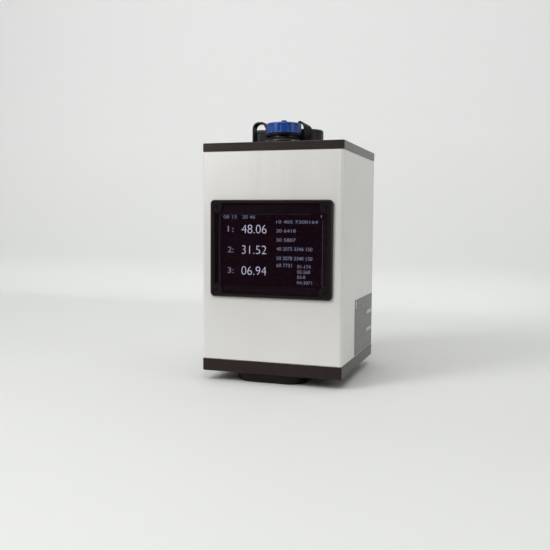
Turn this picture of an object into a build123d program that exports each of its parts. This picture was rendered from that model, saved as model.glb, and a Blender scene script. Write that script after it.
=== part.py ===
from build123d import *
import os

os.makedirs("parts", exist_ok=True)

# Non-contact colour meter, millimetres.
# Frame: origin at the centre of the measuring aperture's mouth, in the plane
# that the hood stands on. +Z up, the display looks along -Y, +X to its right.

# ---------------------------------------------------------------- dimensions
body_w = 100.0            # housing width, along X
body_d = 103.0            # housing depth, along Y
half_w = body_w / 2
half_d = body_d / 2

hood_h = 7.0              # hood, from the rest plane to the base plate
hood_rim_h = 6.3          # lower, wider part of the hood
hood_cx = -3.2            # the hood's outline sits a little left of the aperture
hood_w = 50.2             # outline where it stands; its walls lean out by 8 degrees
hood_d = 93.0
hood_corner_r = 13.0
hood_lean_h = 4.9
hood_lean_deg = 8.0
hood_grow = 0.69          # how far the leaning walls have moved out at their top
hood_neck_inset = 1.2
aperture_r = 18.0         # measuring aperture
hood_screw_x = 17.0
hood_screw_y = 34.0

base_z0 = hood_h
base_t = 8.3
tube_z0 = base_z0 + base_t            # 15.3
tube_h = 143.7
top_z0 = tube_z0 + tube_h             # 159.0
top_t = 5.8
deck_z = top_z0 + top_t               # 164.8, upper face of the top plate

wall = 3.0                # tube wall
tube_corner_r = 1.9
plate_corner_r = 1.2
plate_edge = 0.3
channel = 8.5             # square screw channel in each corner of the tube
corner_x = 43.0           # corner screws
corner_y = 44.5
corner_screw_r = 2.0      # M4
gasket_out = 1.0          # gasket groove, distance in from the outer edge
gasket_in = 2.2
gasket_t = 1.0

bezel_w = 86.6            # display frame
bezel_h = 66.3
bezel_cz = 92.85
bezel_t = 2.5
bezel_corner_r = 2.8
bezel_screw_x = 38.55
bezel_screw_dz = 28.4
glass_w = 79.6
glass_h = 61.4
lcd_cz = 92.1             # centre of the lit area
lcd_w = 74.6
lcd_h = 52.6
lcd_t = 2.8

label_y0, label_y1 = -12.5, 48.0      # label on the right side
label_z0, label_z1 = 16.4, 56.2
label_t = 0.3

nut_dx = 25.0             # rear mounting holes, half spacing
nut_dz = 25.0
nut_cz = 87.0
nut_r = 2.5               # M5

window_r = 21.6           # optical window and its seat
seat_r = 22.0
seat_z = 11.0

led_board_z = 22.0
led_pitch_r = 21.0
led_count = 16
board_t = 1.6
baffle_r = 12.5
bracket_z = 40.0
bracket_t = 3.0
barrel_r = 12.5
barrel_bore_r = 10.5
barrel_z0 = 25.0
barrel_z1 = 62.0

sock_x = -0.9             # axis of the signal socket
sock_y = -21.0
washer_t = 1.2
sock_flange_r = 13.0
sock_barrel_r = 10.3
sock_bore_r = 8.3
sock_thread_r = 9.2
sock_top = deck_z + 13.3              # 178.1
sock_bottom = 150.0
insert_top = 171.8

cap_r = 12.2
cap_bore_r = 10.65
cap_skirt_z = deck_z + 8.2            # 173.0, lower edge of the ribbed part
cap_top = deck_z + 15.5               # 180.3
cap_roof_t = 1.5
cap_groove_r = 11.2
cap_lip_r = 11.8
cap_lip_z0 = 171.1
cap_lip_z1 = 171.5
cap_grip_count = 12
grip_start = 3.35         # first groove's angle, so that a land faces front right
ring_in_r = 11.5
ring_out_r = 12.5
ring_z0 = 171.65
ring_z1 = 172.85

strap_w = 6.5
strap_t = 1.2
strap_left_t = 1.4
strap_left_x = -24.2      # the left strap stands in an upright plane at this y
strap_left_y = -17.5
strap_left_lug_x = -14.3
strap_right_deg = 18.35   # direction of the right strap's foot from the socket's axis
strap_right_lug_deg = 72.8

port_w = 51.8             # port block, a long block with a rounder right end
port_mid = -6.4           # middle of its outline
port_cx = -5.9            # middle of its jack, lid hinge and screws
port_y0 = -4.6
port_y1 = 21.8
port_d = port_y1 - port_y0
port_cy = (port_y0 + port_y1) / 2     # 8.6
port_top = 176.0
lid_z0 = 176.2
lid_t = 2.5
port_corner_r = 13.0
port_left_corner_r = 8.0
hinge_y = 24.2
hinge_z = 176.1
knuckle_r = 2.2
knuckle_in = 5.5          # outer knuckles, from and to, each side of the block's middle
knuckle_out = 11.5
pin_r = 1.0
port_screw_dx = 35.0
port_screw_dy = 13.0
jack_w = 16.0
jack_d = 16.0
jack_top = 174.6
jack_cavity_depth = 12.5
iface_z = 154.4           # underside of the interface board

CBM = (Align.CENTER, Align.CENTER, Align.MIN)
UP = Plane.XY


def front_plane(y, z):
    # sketch plane that looks out of the front, local y is up
    return Plane(origin=(0, y, z), x_dir=(1, 0, 0), z_dir=(0, -1, 0))


def down_plane(x, y, z):
    # work plane on a face that looks down
    return Plane(origin=(x, y, z), x_dir=(1, 0, 0), z_dir=(0, 0, -1))


def port_outline():
    # long block, its right end rounder than its left end
    with Locations((port_mid - port_w / 2 + 22.0, port_cy)):
        RectangleRounded(44.0, port_d, port_left_corner_r)
    with Locations((port_mid + port_w / 2 - 20.0, port_cy)):
        RectangleRounded(40.0, port_d, port_corner_r)


corner_points = [(x, y) for x in (-corner_x, corner_x) for y in (-corner_y, corner_y)]
hood_screw_points = [(x, y) for x in (-hood_screw_x, hood_screw_x) for y in (-hood_screw_y, hood_screw_y)]
bezel_screw_points = [(x, z) for x in (-bezel_screw_x, bezel_screw_x) for z in (-bezel_screw_dz, bezel_screw_dz)]

# ------------------------------------------------------------------- housing
with BuildPart() as housing_tube:
    with BuildSketch(UP.offset(tube_z0)):
        RectangleRounded(body_w, body_d, tube_corner_r)
        RectangleRounded(body_w - 2 * wall, body_d - 2 * wall, 1.0, mode=Mode.SUBTRACT)
    extrude(amount=tube_h)
    chamfer(housing_tube.faces().sort_by(Axis.Z)[-1].outer_wire().edges(), 0.6)
    chamfer(housing_tube.faces().sort_by(Axis.Z)[0].outer_wire().edges(), 0.6)
    # square screw channels in the corners
    with BuildSketch(UP.offset(tube_z0)):
        with GridLocations(2 * (half_w - wall - channel / 2 + 0.25), 2 * (half_d - wall - channel / 2 + 0.25), 2, 2):
            Rectangle(channel, channel)
    extrude(amount=tube_h)
    with BuildSketch(UP.offset(tube_z0)):
        with Locations(*corner_points):
            Circle(corner_screw_r + 0.05)
    extrude(amount=tube_h, mode=Mode.SUBTRACT)
    # display cut-out through the front wall
    with BuildSketch(front_plane(-half_d, lcd_cz)):
        RectangleRounded(lcd_w + 0.4, lcd_h + 0.4, 3.0)
    extrude(amount=-wall, mode=Mode.SUBTRACT)
    # threaded holes for the display frame
    with BuildSketch(front_plane(-half_d, bezel_cz)):
        with Locations(*bezel_screw_points):
            Circle(1.3)
    extrude(amount=-3.2, mode=Mode.SUBTRACT)
    # rear mounting holes
    with BuildSketch(front_plane(half_d, nut_cz)):
        with GridLocations(2 * nut_dx, 2 * nut_dz, 2, 2):
            Circle(nut_r)
    extrude(amount=wall, mode=Mode.SUBTRACT)

with BuildPart() as base_plate:
    with BuildSketch(UP.offset(base_z0)):
        RectangleRounded(body_w, body_d, plate_corner_r)
    extrude(amount=base_t)
    chamfer(base_plate.faces().sort_by(Axis.Z)[-1].outer_wire().edges(), plate_edge)
    chamfer(base_plate.faces().sort_by(Axis.Z)[0].outer_wire().edges(), plate_edge)
    # light path, and the seat for the window
    with BuildSketch(UP.offset(base_z0)):
        Circle(aperture_r + 1.0)
    extrude(amount=base_t, mode=Mode.SUBTRACT)
    with BuildSketch(UP.offset(seat_z)):
        Circle(seat_r)
    extrude(amount=tube_z0 - seat_z, mode=Mode.SUBTRACT)
    # gasket groove
    with BuildSketch(UP.offset(tube_z0 - gasket_t)):
        RectangleRounded(body_w - 2 * gasket_out, body_d - 2 * gasket_out, 2.0)
        RectangleRounded(body_w - 2 * gasket_in, body_d - 2 * gasket_in, 1.2, mode=Mode.SUBTRACT)
    extrude(amount=gasket_t, mode=Mode.SUBTRACT)
    # corner screws, countersunk from below
    with Locations(*[down_plane(x, y, base_z0).location for x, y in corner_points]):
        CounterSinkHole(corner_screw_r + 0.1, 4.2, base_t, 90)
    # threads for the hood's screws
    with BuildSketch(UP.offset(base_z0)):
        with Locations(*hood_screw_points):
            Circle(1.55)
    extrude(amount=6.5, mode=Mode.SUBTRACT)

with BuildPart() as top_plate:
    with BuildSketch(UP.offset(top_z0)):
        RectangleRounded(body_w, body_d, plate_corner_r)
    extrude(amount=top_t)
    chamfer(top_plate.faces().sort_by(Axis.Z)[-1].outer_wire().edges(), plate_edge)
    chamfer(top_plate.faces().sort_by(Axis.Z)[0].outer_wire().edges(), plate_edge)
    with BuildSketch(UP.offset(top_z0)):
        RectangleRounded(body_w - 2 * gasket_out, body_d - 2 * gasket_out, 2.0)
        RectangleRounded(body_w - 2 * gasket_in, body_d - 2 * gasket_in, 1.2, mode=Mode.SUBTRACT)
    extrude(amount=gasket_t, mode=Mode.SUBTRACT)
    # socket hole and jack hole
    with BuildSketch(UP.offset(top_z0)):
        with Locations((sock_x, sock_y)):
            Circle(sock_thread_r + 0.2)
        with Locations((port_cx, port_cy)):
            RectangleRounded(jack_w + 0.4, jack_d + 0.4, 0.6)
        # threads for the port block's screws
        with Locations((port_cx, port_cy)):
            with GridLocations(port_screw_dx, port_screw_dy, 2, 2):
                Circle(1.55)
    extrude(amount=top_t, mode=Mode.SUBTRACT)
    # corner screws, countersunk from above
    with Locations(*[(x, y, deck_z) for x, y in corner_points]):
        CounterSinkHole(corner_screw_r + 0.1, 4.2, top_t, 90)

with BuildPart() as base_gasket:
    with BuildSketch(UP.offset(tube_z0 - gasket_t)):
        RectangleRounded(body_w - 2 * gasket_out, body_d - 2 * gasket_out, 2.0)
        RectangleRounded(body_w - 2 * gasket_in, body_d - 2 * gasket_in, 1.2, mode=Mode.SUBTRACT)
    extrude(amount=gasket_t)

with BuildPart() as top_gasket:
    with BuildSketch(UP.offset(top_z0)):
        RectangleRounded(body_w - 2 * gasket_out, body_d - 2 * gasket_out, 2.0)
        RectangleRounded(body_w - 2 * gasket_in, body_d - 2 * gasket_in, 1.2, mode=Mode.SUBTRACT)
    extrude(amount=gasket_t)

with BuildPart() as top_plate_screws:
    with Locations(*[(x, y, deck_z - 0.15) for x, y in corner_points]):
        Cone(corner_screw_r, 4.0, 2.0, align=(Align.CENTER, Align.CENTER, Align.MAX))
    with Locations(*[(x, y, deck_z - 2.15) for x, y in corner_points]):
        Cylinder(corner_screw_r, 13.0, align=(Align.CENTER, Align.CENTER, Align.MAX))
    with BuildSketch(UP.offset(deck_z - 0.15)):
        with Locations(*corner_points):
            RegularPolygon(1.45, 6)
    extrude(amount=-1.4, mode=Mode.SUBTRACT)

with BuildPart() as base_plate_screws:
    with Locations(*[(x, y, base_z0 + 0.15) for x, y in corner_points]):
        Cone(4.0, corner_screw_r, 2.0, align=CBM)
    with Locations(*[(x, y, base_z0 + 2.15) for x, y in corner_points]):
        Cylinder(corner_screw_r, 15.0, align=CBM)
    with BuildSketch(UP.offset(base_z0 + 0.15)):
        with Locations(*corner_points):
            RegularPolygon(1.45, 6)
    extrude(amount=1.4, mode=Mode.SUBTRACT)

# ------------------------------------------------------------------- display
bezel_y1 = -half_d                    # seats on the tube's front
bezel_y0 = -half_d - bezel_t          # outer face

with BuildPart() as display_bezel:
    with BuildSketch(front_plane(bezel_y1, bezel_cz)):
        RectangleRounded(bezel_w, bezel_h, bezel_corner_r)
    extrude(amount=bezel_t)
    chamfer(display_bezel.faces().sort_by(Axis.Y)[0].outer_wire().edges(), 0.9)
    # recess for the glass, with a lobe of the frame left round each screw
    with BuildSketch(front_plane(bezel_y0, bezel_cz)):
        RectangleRounded(glass_w + 0.3, glass_h + 0.3, 1.2)
        with Locations(*bezel_screw_points):
            Circle(4.3, mode=Mode.SUBTRACT)
        with Locations(*[(x * 1.06, z * 1.08) for x, z in bezel_screw_points]):
            Circle(4.3, mode=Mode.SUBTRACT)
    extrude(amount=-1.8, mode=Mode.SUBTRACT)
    # view opening
    with BuildSketch(front_plane(bezel_y0, lcd_cz)):
        RectangleRounded(74.0, 49.6, 0.5)
    extrude(amount=-bezel_t, mode=Mode.SUBTRACT)
    # screws
    with BuildSketch(front_plane(bezel_y0, bezel_cz)):
        with Locations(*bezel_screw_points):
            Circle(1.35)
    extrude(amount=-bezel_t, mode=Mode.SUBTRACT)
    with BuildSketch(front_plane(bezel_y0, bezel_cz)):
        with Locations(*bezel_screw_points):
            Circle(2.4)
    extrude(amount=-1.5, mode=Mode.SUBTRACT)
    # gasket groove in the back
    with BuildSketch(front_plane(bezel_y1, bezel_cz)):
        RectangleRounded(bezel_w - 2.2, bezel_h - 2.2, 2.0)
        RectangleRounded(bezel_w - 4.2, bezel_h - 4.2, 1.2, mode=Mode.SUBTRACT)
    extrude(amount=0.8, mode=Mode.SUBTRACT)

with BuildPart() as bezel_gasket:
    with BuildSketch(front_plane(bezel_y1, bezel_cz)):
        RectangleRounded(bezel_w - 2.2, bezel_h - 2.2, 2.0)
        RectangleRounded(bezel_w - 4.2, bezel_h - 4.2, 1.2, mode=Mode.SUBTRACT)
    extrude(amount=0.8)

with BuildPart() as bezel_screws:
    with BuildSketch(front_plane(bezel_y0 + 0.15, bezel_cz)):
        with Locations(*bezel_screw_points):
            Circle(2.25)
    extrude(amount=-1.3)
    with BuildSketch(front_plane(bezel_y0 + 1.45, bezel_cz)):
        with Locations(*bezel_screw_points):
            Circle(1.25)
    extrude(amount=-4.0)
    with BuildSketch(front_plane(bezel_y0 + 0.15, bezel_cz)):
        with Locations(*bezel_screw_points):
            RegularPolygon(0.9, 6)
    extrude(amount=-0.9, mode=Mode.SUBTRACT)

with BuildPart() as display_window:
    with BuildSketch(front_plane(bezel_y0 + 1.8, bezel_cz)):
        RectangleRounded(glass_w, glass_h, 1.0)
        with Locations(*bezel_screw_points):
            Circle(4.45, mode=Mode.SUBTRACT)
        with Locations(*[(x * 1.06, z * 1.08) for x, z in bezel_screw_points]):
            Circle(4.45, mode=Mode.SUBTRACT)
    extrude(amount=1.4)

with BuildPart() as lcd_panel:
    with BuildSketch(front_plane(-half_d + 0.1, lcd_cz)):
        RectangleRounded(lcd_w, lcd_h, 2.8)
    extrude(amount=-lcd_t)

board_y = -45.5
with BuildPart() as display_board:
    with BuildSketch(front_plane(board_y, bezel_cz)):
        RectangleRounded(76.0, 67.0, 1.0)
        with GridLocations(70.0, 60.4, 2, 2):
            Circle(1.2, mode=Mode.SUBTRACT)
    extrude(amount=-board_t)

with BuildPart() as display_standoffs:
    with BuildSketch(front_plane(-half_d + wall, bezel_cz)):
        with GridLocations(70.0, 60.4, 2, 2):
            Circle(2.1)
            Circle(1.1, mode=Mode.SUBTRACT)
    extrude(amount=-(board_y + half_d - wall))

# --------------------------------------------------------------------- label
with BuildPart() as rating_label:
    with BuildSketch(Plane(origin=(half_w, (label_y0 + label_y1) / 2, (label_z0 + label_z1) / 2),
                           x_dir=(0, 1, 0), z_dir=(1, 0, 0))):
        RectangleRounded(label_y1 - label_y0, label_z1 - label_z0, 0.8)
    extrude(amount=label_t)

# ---------------------------------------------------------------------- hood
with BuildPart() as aperture_hood:
    with BuildSketch(UP):
        with Locations((hood_cx, 0)):
            RectangleRounded(hood_w, hood_d, hood_corner_r)
    extrude(amount=hood_lean_h, taper=-hood_lean_deg)
    fillet(aperture_hood.faces().sort_by(Axis.Z)[0].outer_wire().edges(), 0.5)
    with BuildSketch(UP.offset(hood_lean_h)):
        with Locations((hood_cx, 0)):
            RectangleRounded(hood_w + 2 * hood_grow, hood_d + 2 * hood_grow, hood_corner_r + hood_grow)
    extrude(amount=hood_rim_h - hood_lean_h)
    fillet(aperture_hood.faces().sort_by(Axis.Z)[-1].outer_wire().edges(), 0.3)
    with BuildSketch(UP.offset(hood_rim_h)):
        with Locations((hood_cx, 0)):
            RectangleRounded(hood_w - 2 * hood_neck_inset, hood_d - 2 * hood_neck_inset, hood_corner_r - hood_neck_inset)
    extrude(amount=hood_h - hood_rim_h)
    with BuildSketch(UP):
        Circle(aperture_r)
    extrude(amount=hood_h, mode=Mode.SUBTRACT)
    with Locations(*[down_plane(x, y, 0).location for x, y in hood_screw_points]):
        CounterSinkHole(1.65, 3.3, hood_h, 90)

with BuildPart() as hood_screws:
    with Locations(*[(x, y, 0.3) for x, y in hood_screw_points]):
        Cone(3.0, 1.5, 1.5, align=CBM)
    with Locations(*[(x, y, 1.8) for x, y in hood_screw_points]):
        Cylinder(1.5, 10.5, align=CBM)
    with BuildSketch(UP.offset(0.3)):
        with Locations(*hood_screw_points):
            RegularPolygon(1.15, 6)
    extrude(amount=1.1, mode=Mode.SUBTRACT)

# -------------------------------------------------------------------- window
with BuildPart() as window_seal:
    with BuildSketch(UP.offset(seat_z)):
        Circle(window_r)
        Circle(aperture_r + 1.2, mode=Mode.SUBTRACT)
    extrude(amount=0.8)

with BuildPart() as optical_window:
    with BuildSketch(UP.offset(seat_z + 0.8)):
        Circle(window_r)
    extrude(amount=2.0)

with BuildPart() as window_retainer:
    with BuildSketch(UP.offset(seat_z + 2.8)):
        Circle(seat_r - 0.1)
        Circle(aperture_r + 0.5, mode=Mode.SUBTRACT)
        with PolarLocations(seat_r, 2):
            Rectangle(3.0, 2.0, mode=Mode.SUBTRACT)
    extrude(amount=tube_z0 - seat_z - 2.8)

# -------------------------------------------------------------- illumination
with BuildPart() as led_board_standoffs:
    with BuildSketch(UP.offset(tube_z0)):
        with GridLocations(37.2, 37.2, 2, 2):
            Circle(2.4)
            Circle(1.2, mode=Mode.SUBTRACT)
    extrude(amount=led_board_z - tube_z0)

with BuildPart() as led_ring_board:
    with BuildSketch(UP.offset(led_board_z)):
        Circle(31.0)
        Circle(13.0, mode=Mode.SUBTRACT)
        with GridLocations(37.2, 37.2, 2, 2):
            Circle(1.2, mode=Mode.SUBTRACT)
    extrude(amount=board_t)

with BuildPart() as illumination_leds:
    with BuildSketch(UP.offset(led_board_z)):
        with PolarLocations(led_pitch_r, led_count):
            Rectangle(2.8, 2.8)
    extrude(amount=-1.2)

with BuildPart() as light_baffle:
    with BuildSketch(UP.offset(16.5)):
        Circle(baffle_r)
        Circle(baffle_r - 1.6, mode=Mode.SUBTRACT)
    extrude(amount=led_board_z + board_t - 16.5)
    with BuildSketch(UP.offset(led_board_z + board_t)):
        Circle(15.5)
        Circle(baffle_r - 1.6, mode=Mode.SUBTRACT)
    extrude(amount=barrel_z0 - led_board_z - board_t)

# -------------------------------------------------------------------- optics
with BuildPart() as optics_barrel:
    with BuildSketch(UP.offset(barrel_z0)):
        Circle(barrel_r)
        Circle(barrel_bore_r, mode=Mode.SUBTRACT)
    extrude(amount=barrel_z1 - barrel_z0)
    with BuildSketch(UP.offset(34.0)):
        Circle(barrel_bore_r + 0.5)
        Circle(9.0, mode=Mode.SUBTRACT)
    extrude(amount=2.0)
    with BuildSketch(UP.offset(bracket_z + bracket_t)):
        Circle(17.0)
        Circle(barrel_bore_r, mode=Mode.SUBTRACT)
    extrude(amount=2.0)

with BuildPart() as objective_lens:
    with BuildSketch(Plane.XZ):
        with BuildLine():
            Polyline((0, 30), (0, 34), (10.4, 34), (10.4, 32))
            RadiusArc((10.4, 32), (0, 30), 28.04)
        make_face()
    revolve(axis=Axis.Z)

with BuildPart() as lens_retainer:
    with BuildSketch(UP.offset(29.0)):
        Circle(barrel_bore_r - 0.05)
        Circle(8.9, mode=Mode.SUBTRACT)
    extrude(amount=2.4)

with BuildPart() as optics_posts:
    with BuildSketch(UP.offset(tube_z0)):
        with GridLocations(62.0, 62.0, 2, 2):
            Circle(3.2)
    extrude(amount=bracket_z - tube_z0)

with BuildPart() as optics_bracket:
    with BuildSketch(UP.offset(bracket_z)):
        RectangleRounded(74.0, 74.0, 2.0)
        Circle(barrel_r + 0.3, mode=Mode.SUBTRACT)
    extrude(amount=bracket_t)

with BuildPart() as sensor_board_posts:
    with BuildSketch(UP.offset(bracket_z + bracket_t)):
        with Locations((-19.6, 0), (19.6, 0)):
            Circle(2.2)
    extrude(amount=barrel_z1 - bracket_z - bracket_t)

with BuildPart() as sensor_board:
    with BuildSketch(UP.offset(barrel_z1)):
        RectangleRounded(46.0, 34.0, 1.5)
    extrude(amount=board_t)

with BuildPart() as spectral_sensor:
    with BuildSketch(UP.offset(barrel_z1 - 1.5)):
        Rectangle(9.0, 9.0)
        Circle(1.5, mode=Mode.SUBTRACT)
    extrude(amount=1.5)

# --------------------------------------------------------------- electronics
with BuildPart() as chassis_plate:
    with BuildSketch(Plane.YZ.offset(-35.0)):
        with BuildLine():
            Polyline((22, 43), (38, 43), (38, 146), (36, 146), (36, 45), (22, 45), close=True)
        make_face()
    extrude(amount=70.0)

with BuildPart() as main_board_standoffs:
    with BuildSketch(front_plane(36.0, 97.0)):
        with GridLocations(60.0, 82.0, 2, 2):
            Circle(2.5)
            Circle(1.2, mode=Mode.SUBTRACT)
    extrude(amount=4.0)

with BuildPart() as main_board:
    with BuildSketch(front_plane(32.0, 97.0)):
        RectangleRounded(68.0, 90.0, 1.5)
        with GridLocations(60.0, 82.0, 2, 2):
            Circle(1.2, mode=Mode.SUBTRACT)
    extrude(amount=board_t)

with BuildPart() as processor_chips:
    with BuildSketch(front_plane(30.4, 97.0)):
        with Locations((0, 12)):
            Rectangle(14, 14)
        with Locations((-20, -8)):
            Rectangle(9, 12)
        with Locations((18, -6)):
            Rectangle(10, 6)
        with Locations((18, 24)):
            Rectangle(8, 8)
        with Locations((-18, 26), (-20, -30), (16, -28)):
            Circle(3.2)
    extrude(amount=1.5)

with BuildPart() as interface_board:
    with BuildSketch(UP.offset(iface_z)):
        with Locations((0, 17)):
            RectangleRounded(72.0, 42.0, 1.5)
            with GridLocations(64.0, 34.0, 2, 2):
                Circle(1.2, mode=Mode.SUBTRACT)
    extrude(amount=board_t)

with BuildPart() as interface_standoffs:
    with BuildSketch(UP.offset(iface_z + board_t)):
        with Locations((0, 17)):
            with GridLocations(64.0, 34.0, 2, 2):
                Circle(2.5)
                Circle(1.2, mode=Mode.SUBTRACT)
    extrude(amount=top_z0 - iface_z - board_t)

with BuildPart() as network_jack:
    with BuildSketch(UP.offset(iface_z + board_t)):
        with Locations((port_cx, port_cy)):
            RectangleRounded(jack_w, jack_d, 0.5)
    extrude(amount=jack_top - iface_z - board_t)
    # plug cavity, with the narrower slots for the plug's latch behind it
    with BuildSketch(UP.offset(jack_top)):
        with Locations((port_cx, port_cy - 0.8)):
            Rectangle(11.9, 7.4)
        with Locations((port_cx, port_cy + 3.9)):
            Rectangle(6.4, 2.2)
        with Locations((port_cx, port_cy + 5.6)):
            Rectangle(3.6, 1.6)
    extrude(amount=-jack_cavity_depth, mode=Mode.SUBTRACT)

# threaded plate behind the rear wall, its holes blind so that the housing stays closed
with BuildPart() as mounting_nut_plate:
    with BuildSketch(front_plane(half_d - wall, nut_cz)):
        RectangleRounded(64.0, 64.0, 3.0)
    extrude(amount=6.0)
    with BuildSketch(front_plane(half_d - wall, nut_cz)):
        with GridLocations(2 * nut_dx, 2 * nut_dz, 2, 2):
            Circle(nut_r)
    extrude(amount=4.6, mode=Mode.SUBTRACT)

# flat ribbon from the display board over to the main board
with BuildPart() as display_ribbon:
    with BuildLine() as ribbon_path:
        FilletPolyline((22, -43.9, 118.0), (22, -36.5, 118.0), (22, -36.5, 147.5), (22, 22.5, 147.5), (22, 22.5, 132.0),
                       (22, 30.4, 132.0), radius=2.5)
    with BuildSketch(Plane(origin=(22, -43.9, 118.0), x_dir=(1, 0, 0), z_dir=(0, 1, 0))):
        Rectangle(20.0, 0.4)
    sweep(path=ribbon_path.wires()[0])

# flat ribbon from the sensor board to the main board
with BuildPart() as sensor_ribbon:
    with BuildLine() as sensor_path:
        FilletPolyline((0, 12.0, 63.6), (0, 12.0, 67.5), (0, 30.4, 67.5), radius=2.0)
    with BuildSketch(Plane(origin=(0, 12.0, 63.6), x_dir=(1, 0, 0), z_dir=(0, 0, 1))):
        Rectangle(12.0, 0.4)
    sweep(path=sensor_path.wires()[0])

# ------------------------------------------------------------- signal socket
with BuildPart() as tether_base:
    with BuildSketch(UP.offset(deck_z)):
        with Locations((sock_x, sock_y)):
            Circle(sock_flange_r + 0.4)
        with Locations((strap_left_x + 6.0, strap_left_y)):
            RectangleRounded(14.0, strap_w + 1.0, 2.0)
        with Locations(Location((0, sock_y, 0), (0, 0, strap_right_deg))):
            with Locations((15.0, 0)):
                RectangleRounded(10.0, strap_w, 2.0)
        with Locations((sock_x, sock_y)):
            Circle(sock_thread_r + 0.2, mode=Mode.SUBTRACT)
    extrude(amount=washer_t)

sock_z0 = deck_z + washer_t           # 166.0
with BuildPart() as signal_socket:
    with BuildSketch(Plane(origin=(sock_x, sock_y, 0), x_dir=(1, 0, 0), z_dir=(0, -1, 0))):
        with BuildLine():
            Polyline((sock_bore_r, sock_bottom), (sock_thread_r, sock_bottom), (sock_thread_r, sock_z0),
                     (sock_flange_r, sock_z0), (sock_flange_r, sock_z0 + 2.3))
            # short concave flare from the foot up to the barrel
            ThreePointArc((sock_flange_r, sock_z0 + 2.3), (11.15, sock_z0 + 3.0), (sock_barrel_r, sock_z0 + 4.7))
            Polyline((sock_barrel_r, sock_z0 + 4.7), (sock_barrel_r, sock_top - 0.4),
                     (sock_barrel_r - 0.4, sock_top), (sock_bore_r, sock_top), (sock_bore_r, sock_bottom))
        make_face()
    revolve(axis=Axis(origin=(sock_x, sock_y, 0), direction=(0, 0, 1)))

with BuildPart() as socket_insert:
    with BuildSketch(UP.offset(sock_bottom + 2)):
        with Locations((sock_x, sock_y)):
            Circle(sock_bore_r - 0.05)
            with PolarLocations(5.6, 8):
                Circle(0.75, mode=Mode.SUBTRACT)
            with PolarLocations(2.3, 4, start_angle=45):
                Circle(0.75, mode=Mode.SUBTRACT)
    extrude(amount=insert_top - sock_bottom - 2)

with BuildPart() as socket_contacts:
    with BuildSketch(UP.offset(sock_bottom + 0.5)):
        with Locations((sock_x, sock_y)):
            with PolarLocations(5.6, 8):
                Circle(0.7)
            with PolarLocations(2.3, 4, start_angle=45):
                Circle(0.7)
    extrude(amount=insert_top - 0.5 - sock_bottom - 0.5)

with BuildPart() as socket_locknut:
    with BuildSketch(UP.offset(top_z0 - 3.5)):
        with Locations((sock_x, sock_y)):
            RegularPolygon(13.4, 6)
            Circle(sock_thread_r + 0.05, mode=Mode.SUBTRACT)
    extrude(amount=3.5)

# harness from the socket's contacts to the interface board
with BuildPart() as signal_harness:
    with BuildLine() as harness_path:
        FilletPolyline((sock_x, sock_y, 150.4), (sock_x, sock_y, 141.5), (sock_x, 2.0, 141.5), (sock_x, 2.0, 154.4),
                       radius=6.0)
    with BuildSketch(Plane(origin=(sock_x, sock_y, 150.4), z_dir=(0, 0, -1))):
        Circle(2.4)
    sweep(path=harness_path.wires()[0])

# ------------------------------------------------------------------ dust cap
with BuildPart() as dust_cap:
    with BuildSketch(Plane(origin=(sock_x, sock_y, 0), x_dir=(1, 0, 0), z_dir=(0, -1, 0))):
        with BuildLine():
            Polyline((cap_bore_r, cap_lip_z0), (cap_lip_r, cap_lip_z0), (cap_lip_r, cap_lip_z1),
                     (cap_groove_r, cap_lip_z1), (cap_groove_r, cap_skirt_z), (cap_r - 0.3, cap_skirt_z),
                     (cap_r, cap_skirt_z + 0.3), (cap_r, cap_top - 0.9), (cap_r - 0.9, cap_top), (1.05, cap_top),
                     (1.05, cap_top - cap_roof_t), (cap_bore_r, cap_top - cap_roof_t), close=True)
        make_face()
    revolve(axis=Axis(origin=(sock_x, sock_y, 0), direction=(0, 0, 1)))
    # grip flutes
    with BuildSketch(UP.offset(cap_skirt_z + 0.6)):
        with Locations((sock_x, sock_y)):
            with PolarLocations(cap_r + 1.05, cap_grip_count, start_angle=grip_start):
                Circle(1.5)
    extrude(amount=cap_top - cap_skirt_z - 1.9, mode=Mode.SUBTRACT)

with BuildPart() as cap_seal:
    with BuildSketch(UP.offset(cap_top - cap_roof_t)):
        with Locations((sock_x, sock_y)):
            Circle(cap_bore_r - 0.1)
            Circle(8.0, mode=Mode.SUBTRACT)
    extrude(amount=-0.5)

with BuildPart() as cap_rivet:
    with BuildSketch(Plane(origin=(sock_x, sock_y, 0), x_dir=(1, 0, 0), z_dir=(0, -1, 0))):
        with BuildLine():
            Polyline((0, cap_top - cap_roof_t), (1.0, cap_top - cap_roof_t), (1.0, cap_top), (2.1, cap_top),
                     (2.1, cap_top + 1.4))
            ThreePointArc((2.1, cap_top + 1.4), (1.62, cap_top + 2.15), (0.7, cap_top + 2.4))
            Polyline((0.7, cap_top + 2.4), (0, cap_top + 2.4), (0, cap_top - cap_roof_t))
        make_face()
    revolve(axis=Axis(origin=(sock_x, sock_y, 0), direction=(0, 0, 1)))

with BuildPart() as tether_ring:
    with BuildSketch(UP.offset(ring_z0)):
        with Locations((sock_x, sock_y)):
            Circle(ring_out_r)
        with Locations((strap_left_lug_x + 0.9, strap_left_y)):
            RectangleRounded(3.4, strap_w, 0.8)
        with Locations(Location((0, sock_y, 0), (0, 0, strap_right_lug_deg))):
            with Locations((13.2, 0)):
                RectangleRounded(3.2, 5.0, 0.8)
        with Locations((sock_x, sock_y)):
            Circle(ring_in_r, mode=Mode.SUBTRACT)
    extrude(amount=ring_z1 - ring_z0)

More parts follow.
